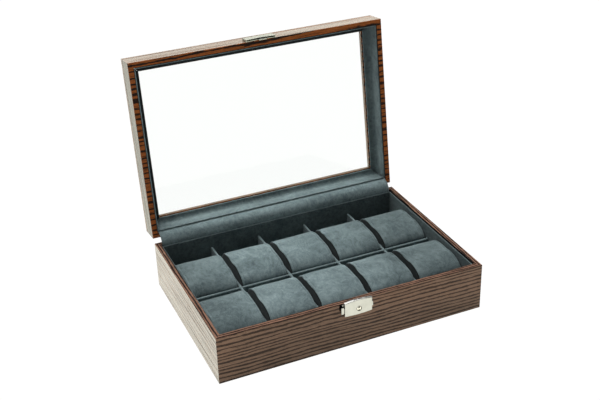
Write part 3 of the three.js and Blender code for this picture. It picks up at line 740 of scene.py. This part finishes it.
def band_line():
    """Points up the band, from inside the case's slot to inside the lid's."""
    leave = Vector((0, SLOT_Y, LINING_TOP - 1 * MM))
    enter = opened((0, SLOT_Y, LID_RIM + 0.4 * MM))
    control = Vector((0, SLOT_Y + 0.4 * MM, enter.z - 1.9 * MM))
    tail = opened((0, SLOT_Y, LID_RIM + BAND_TUCK))
    points = [leave - Vector((0, 0, BAND_TUCK * (1 - k / BAND_HIDDEN))) for k in range(BAND_HIDDEN)]
    for k in range(BAND_FREE + 1):
        t = k / BAND_FREE
        points.append((1 - t) ** 2 * leave + 2 * t * (1 - t) * control + t * t * enter)
    points += [enter.lerp(tail, k / BAND_HIDDEN) for k in range(1, BAND_HIDDEN + 1)]
    return points


def band_vertices(line):
    """The vertices of the band's two faces, in rows up the line."""
    vertices = []
    for side in (1, -1):
        for k, point in enumerate(line):
            ahead = line[min(k + 1, len(line) - 1)] - line[max(k - 1, 0)]
            out = Vector((0, -ahead.z, ahead.y)).normalized()
            free = math.sin(math.pi * min(max((k - BAND_HIDDEN) / BAND_FREE, 0), 1))
            for c in range(BAND_COLUMNS + 1):
                x = (c / BAND_COLUMNS - 0.5) * BAND_WIDTH
                ripple = noise.noise(Vector((x * 26, k * 0.12, 5))) * BAND_RIPPLE * free
                vertices.append(point + Vector((x, 0, 0)) + out * (side * BAND_THICKNESS / 2 + ripple))
    return vertices


def band_faces(across, up):
    """The faces of a sheet with two sides, each of up rows of across vertices."""
    faces = []
    for start in (0, across * up):
        for k in range(up - 1):
            for c in range(across - 1):
                a = start + k * across + c
                faces.append((a, a + 1, a + across + 1, a + across))
    return faces + band_edges(across, up)


def band_edges(across, up):
    """The faces that close the band's four edges."""
    back = across * up
    loop = [*range(across), *((k + 1) * across + across - 1 for k in range(up - 1))]
    loop += [*reversed(range((up - 1) * across, up * across - 1))]
    loop += [k * across for k in range(up - 2, 0, -1)]
    return [(a, b, b + back, a + back) for a, b in zip(loop, [*loop[1:], loop[0]])]


def stay_band():
    """A velour band, the full inside width, taut between the case and the lid."""
    line = band_line()
    faces = band_faces(BAND_COLUMNS + 1, len(line))
    # painted light: the band's colours at 1.25
    piece = new_object("stay_band", band_vertices(line), faces, velour("velour_band", 5.3, 0.7, 1.25))
    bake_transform(piece)
    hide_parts("hinge_stay_band")


# ---------------------------------------------------------------- velour mouldings in the lid

MOULDING_LOW, MOULDING_TOP = 0.4 * MM, 22.8 * MM  # heights above the shut lid's rim
GLASS_LIP = 21.4 * MM  # height of the lip that holds the glass
WALL_ROUND, LIP_ROUND = 0.55 * MM, 0.7 * MM
MOULDING_OUTER = 1.25 * MM  # how thick it is at the rim
COVE = 5.5 * MM  # radius of the hollow curve between the lid's wall and the glass
BAND_GAP = 0.8 * MM  # between the stay band and the back moulding, a dark line
MOULDING_SOFTNESS = 0.22 * MM
TURNS = {"front": 0, "right": 90, "back": 180, "left": 270}


def moulding_profile(side):
    """The lid moulding's section, as (inset from the outside, height above the shut lid's rim)."""
    wall = HALF_WIDTH - LINED_X + (BAND_GAP if side == "back" else 0)
    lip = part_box("glass_bead_left")[1].x + HALF_WIDTH
    outer = wall - MOULDING_OUTER
    points = [(outer, MOULDING_TOP)]
    points += arc((outer + LIP_ROUND, MOULDING_LOW + LIP_ROUND), LIP_ROUND, 2, 3, 4)
    points += arc((wall - WALL_ROUND, MOULDING_LOW + WALL_ROUND), WALL_ROUND, -1, 0, 4)
    points.append((wall + 0.1 * MM, 0.5 * GLASS_LIP))
    points += arc((wall + COVE, GLASS_LIP - COVE), COVE, 2, 1, 8)
    points += arc((lip - LIP_ROUND, GLASS_LIP + LIP_ROUND), LIP_ROUND, -1, 0, 4)
    points.append((lip, MOULDING_TOP))
    return points


def moulding(side, material):
    """One side of the lid's lining: mitred at its ends, and curving from the wall into the glass."""
    profile = moulding_profile(side)
    across = side in ("front", "back")
    half_length, distance = (HALF_WIDTH, HALF_DEPTH) if across else (HALF_DEPTH, HALF_WIDTH)
    turn = Matrix.Rotation(math.radians(TURNS[side]), 3, "Z")
    stations = 60 if across else 40
    vertices = []
    for s in range(stations + 1):
        share = 2 * s / stations - 1
        for inset, height in profile:
            x = share * (half_length - inset - 0.1 * MM)
            soft = noise.noise(Vector((x * 30, height * 60, len(side)))) * MOULDING_SOFTNESS
            soft *= 1 if 4 * MM < height < 20 * MM else 0
            point = turn @ Vector((x, inset + soft - distance, LID_RIM + height))
            vertices.append(opened(point))
    piece = new_object(f"lid_moulding_{side}", vertices, tube_faces(stations + 1, len(profile)), material)
    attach(piece, "lid")
    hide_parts(f"lid_lining_{side}", f"glass_bead_{side}")


def mouldings():
    """The four mouldings. The front and the left one are darker, as in the photo: painted shade deeper in
    the lid, with a painted highlight along the rim.
    """
    light = velour("velour_lid", 4.1, 0.8)
    # painted highlight along the rim (1.5) and painted shade deeper in the lid (0.1)
    dark = velour("velour_lid_dark", 4.1, 0.8, 1.5, lid_shade_paint=0.1, sheen=0.15)
    for side, material in (("front", dark), ("right", light), ("back", light), ("left", dark)):
        moulding(side, material)


# ---------------------------------------------------------------- hinge screws

SCREW_ACROSS = 10 * MM  # from the hinge's middle
SCREW_RISE = 10 * MM  # from its axis
LEAF_FACE = 1.1 * MM  # behind the back panel
SCREW_RINGS = [(1.25, -1.2), (1.25, -0.2), (1.9, 0.05), (1.75, 0.17), (1.2, 0.27), (0.6, 0.31)]  # in mm
SCREW_AROUND = 28
SCREW_SLOT = (5.7 * MM, 0.28 * MM, 0.64 * MM)  # length, width and height of what cuts the slot
SCREW_SLOT_MIDDLE = 0.432 * MM  # its height


def slot_cutter(angle):
    """The block that cuts a screw's slot."""
    data = bpy.data.meshes.new("slot")
    work = bmesh.new()
    bmesh.ops.create_cube(work, size=1)
    bmesh.ops.scale(work, vec=SCREW_SLOT, verts=work.verts)
    bmesh.ops.translate(work, vec=(0, 0, SCREW_SLOT_MIDDLE), verts=work.verts)
    bmesh.ops.rotate(work, matrix=Matrix.Rotation(angle, 3, "Z"), verts=work.verts)
    work.to_mesh(data)
    work.free()
    cutter = bpy.data.objects.new("slot", data)
    bpy.context.scene.collection.objects.link(cutter)
    return cutter


def screw(name, centre, outward, material, body):
    """A small countersunk screw: a shallow dome with a slot, lying in the leaf's hole."""
    vertices = []
    for radius, height in SCREW_RINGS:
        for i in range(SCREW_AROUND):
            a = i / SCREW_AROUND * 2 * math.pi
            vertices.append((radius * MM * math.cos(a), radius * MM * math.sin(a), height * MM))
    piece = new_object(name, vertices, tube_faces(len(SCREW_RINGS), SCREW_AROUND), material, smooth=False)
    cutter = slot_cutter(centre.x * 40)
    modifier = piece.modifiers.new("slot", "BOOLEAN")
    modifier.object, modifier.operation, modifier.solver = cutter, "DIFFERENCE", "EXACT"
    apply_modifier(piece, modifier)
    bpy.data.objects.remove(cutter)
    turn = outward.to_track_quat("Z", "Y").to_matrix().to_4x4()
    piece.data.transform(Matrix.Translation(centre) @ turn)
    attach(piece, body)


def hinge_screws(material):
    face = HALF_DEPTH + LEAF_FACE
    for side in ("left", "right"):
        low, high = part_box(f"hinge_pin_{side}")
        middle = (low.x + high.x) / 2
        for number, end in enumerate((-1, 1), 1):
            x = middle + end * SCREW_ACROSS
            case_place = Vector((x, face, HINGE.z - SCREW_RISE))
            lid_place = opened((x, face, HINGE.z + SCREW_RISE))
            out = opened((x, face + 1, HINGE.z + SCREW_RISE)) - lid_place
            screw(f"hinge_screw_case_{side}_{number}", case_place, Vector((0, 1, 0)), material, "case")
            screw(f"hinge_screw_lid_{side}_{number}", lid_place, out, material, "lid")


# ---------------------------------------------------------------- floor, light and camera

FLOOR_SIZE = 14
FLOOR_WHITE = 1.03  # what the camera sees
FLOOR_MIRRORED = 2.6  # what shows in the lacquer and the nickel
FLOOR_BOUNCE = 0.85  # what the floor gives back to the object
WORLD_LIGHT = 0.18
WARM_WHITE = (0.99, 0.985, 0.87, 1)
LENS = 62.2
CAMERA_PLACE = (-0.42812, -0.97066, 0.70746)
CAMERA_TURN = (61.609, 1.712, -23.934)  # degrees


def studio_floor():
    """White paper that shows no shadow, as behind a cut-out product shot."""
    tree = Tree("paper_white")
    texture = tree.noise(tree.place(), 60)
    shade = tree.ramp(texture, (0.3, FLOOR_BOUNCE), (0.7, FLOOR_BOUNCE + 0.02))
    tree.set(Base_Color=shade, Roughness=0.9, Specular_IOR_Level=0.1)
    rays = tree.add("ShaderNodeLightPath").outputs
    mirrored = tree.math("SUBTRACT", rays["Is Glossy Ray"], rays["Is Transmission Ray"])
    mirrored = tree.math("MAXIMUM", mirrored, 0.0)
    seen = tree.mix(mirrored, (1, 1, 1, 1), WARM_WHITE)
    strength = tree.between(mirrored, FLOOR_WHITE, FLOOR_MIRRORED)
    white = tree.add("ShaderNodeEmission", {"Color": seen, "Strength": strength}).outputs[0]
    inputs = {0: rays["Is Diffuse Ray"], 1: white, 2: tree.shader.outputs[0]}
    mixed = tree.add("ShaderNodeMixShader", inputs).outputs[0]
    tree.put(tree.nodes["Material Output"], "Surface", mixed)
    bpy.ops.mesh.primitive_plane_add(size=FLOOR_SIZE, location=(0, 0, 0))
    floor = bpy.context.active_object
    floor.name = "studio_floor"
    floor.data.materials.append(tree.material)


def softbox(name, place, aim, size, power, colour=(1, 1, 1)):
    """A rectangular lamp that looks from its place at its aim."""
    light = bpy.data.lights.new(name, "AREA")
    light.shape = "RECTANGLE"
    light.size, light.size_y = size
    light.energy, light.color = power, colour
    lamp = bpy.data.objects.new(name, light)
    lamp.location = place
    lamp.rotation_euler = (Vector(aim) - Vector(place)).to_track_quat("-Z", "Y").to_euler()
    bpy.context.scene.collection.objects.link(lamp)


def studio_light():
    world = bpy.data.worlds.new("studio")
    world.use_nodes = True
    nodes, links = world.node_tree.nodes, world.node_tree.links
    background = nodes["Background"].inputs
    background["Color"].default_value = (1, 1, 1, 1)
    seen = nodes.new("ShaderNodeMapRange")  # white to the camera, as the floor is
    seen.inputs["To Min"].default_value, seen.inputs["To Max"].default_value = WORLD_LIGHT, FLOOR_WHITE
    links.new(nodes.new("ShaderNodeLightPath").outputs["Is Camera Ray"], seen.inputs["Value"])
    links.new(seen.outputs["Result"], background["Strength"])
    bpy.context.scene.world = world
    softbox("overhead", place=(-0.05, 0.65, 1.7), aim=(0, 0.05, 0.05), size=(2.0, 1.8), power=64)
    sweep = {"size": (4.0, 0.6), "power": 13, "colour": WARM_WHITE[:3]}
    softbox("back_sweep", place=(0.5, 2.6, 0.5), aim=(0, 0, 0.3), **sweep)
    bpy.context.scene.view_settings.view_transform = "Standard"


def camera():
    """A camera where the photo's stood, found from the corners of the case and the lid."""
    data = bpy.data.cameras.new("camera")
    data.lens, data.sensor_width = LENS, 36
    data.clip_start = 0.05
    made = bpy.data.objects.new("camera", data)
    made.location = CAMERA_PLACE
    made.rotation_euler = Euler([math.radians(a) for a in CAMERA_TURN], "XYZ")
    bpy.context.scene.collection.objects.link(made)
    bpy.context.scene.camera = made


# ---------------------------------------------------------------- the whole


def main():
    camera()
    studio_floor()
    studio_light()
    veneer_case()
    veneer_lid()
    cover_with_velour()
    brass = plate_metals()
    glaze()
    pillows()
    stay_band()
    mouldings()
    hinge_screws(brass)


main()
